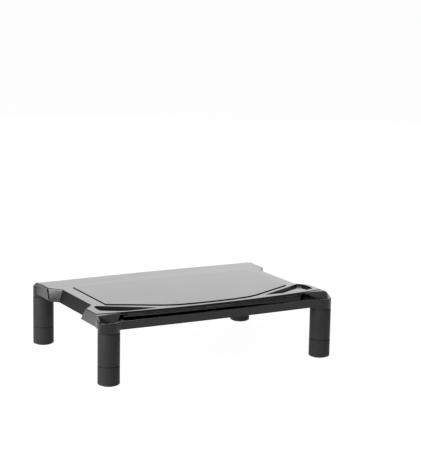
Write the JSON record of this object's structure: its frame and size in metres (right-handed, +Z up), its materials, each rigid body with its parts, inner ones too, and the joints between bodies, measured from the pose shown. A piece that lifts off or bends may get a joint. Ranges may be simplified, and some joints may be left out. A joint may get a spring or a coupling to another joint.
{
  "type": "monitor riser stand",
  "caption": "Low rectangular monitor riser with a flat deck, raised centre panel, pen trays at the front corners and round stacking legs that pull apart to change height.",
  "frame": {"origin": "on the ground, in the middle of the four legs", "axes": "+Z up, +X along the long side to the right as seen from the front, -Y towards the front rail"},
  "size_m": [0.3834, 0.2756, 0.1005],
  "materials": {
    "deck_plastic": "satin charcoal black moulded plastic, low gloss",
    "panel_plastic": "satin charcoal black, very fine grain",
    "frame_plastic": "charcoal black moulded plastic",
    "leg_plastic": "charcoal black moulded plastic, soft sheen",
    "pad_rubber": "matt black rubber",
    "screw_steel": "zinc plated steel"
  },
  "bodies": {
    "platform": {"top_deck": "deck_plastic", "centre_panel": "panel_plastic", "under_frame": "frame_plastic", "deck_screw_1": "screw_steel", "deck_screw_2": "screw_steel", "deck_screw_3": "screw_steel", "deck_screw_4": "screw_steel", "deck_screw_5": "screw_steel", "deck_screw_6": "screw_steel", "deck_screw_7": "screw_steel", "deck_screw_8": "screw_steel"},
    "spacer_front_left": {"leg_spacer_front_left": "leg_plastic"},
    "foot_front_left": {"leg_foot_front_left": "leg_plastic", "foot_pad_front_left": "pad_rubber"},
    "spacer_front_right": {"leg_spacer_front_right": "leg_plastic"},
    "foot_front_right": {"leg_foot_front_right": "leg_plastic", "foot_pad_front_right": "pad_rubber"},
    "spacer_rear_left": {"leg_spacer_rear_left": "leg_plastic"},
    "foot_rear_left": {"leg_foot_rear_left": "leg_plastic", "foot_pad_rear_left": "pad_rubber"},
    "spacer_rear_right": {"leg_spacer_rear_right": "leg_plastic"},
    "foot_rear_right": {"leg_foot_rear_right": "leg_plastic", "foot_pad_rear_right": "pad_rubber"}
  },
  "joints": [
    {"name": "spacer_pull_front_left", "type": "slide", "parent": "platform", "child": "spacer_front_left", "axis": [0, 0, -1], "range_m": [0, 0.013]},
    {"name": "foot_pull_front_left", "type": "slide", "parent": "spacer_front_left", "child": "foot_front_left", "axis": [0, 0, -1], "range_m": [0, 0.013]},
    {"name": "spacer_pull_front_right", "type": "slide", "parent": "platform", "child": "spacer_front_right", "axis": [0, 0, -1], "range_m": [0, 0.013]},
    {"name": "foot_pull_front_right", "type": "slide", "parent": "spacer_front_right", "child": "foot_front_right", "axis": [0, 0, -1], "range_m": [0, 0.013]},
    {"name": "spacer_pull_rear_left", "type": "slide", "parent": "platform", "child": "spacer_rear_left", "axis": [0, 0, -1], "range_m": [0, 0.013]},
    {"name": "foot_pull_rear_left", "type": "slide", "parent": "spacer_rear_left", "child": "foot_rear_left", "axis": [0, 0, -1], "range_m": [0, 0.013]},
    {"name": "spacer_pull_rear_right", "type": "slide", "parent": "platform", "child": "spacer_rear_right", "axis": [0, 0, -1], "range_m": [0, 0.013]},
    {"name": "foot_pull_rear_right", "type": "slide", "parent": "spacer_rear_right", "child": "foot_rear_right", "axis": [0, 0, -1], "range_m": [0, 0.013]}
  ]
}
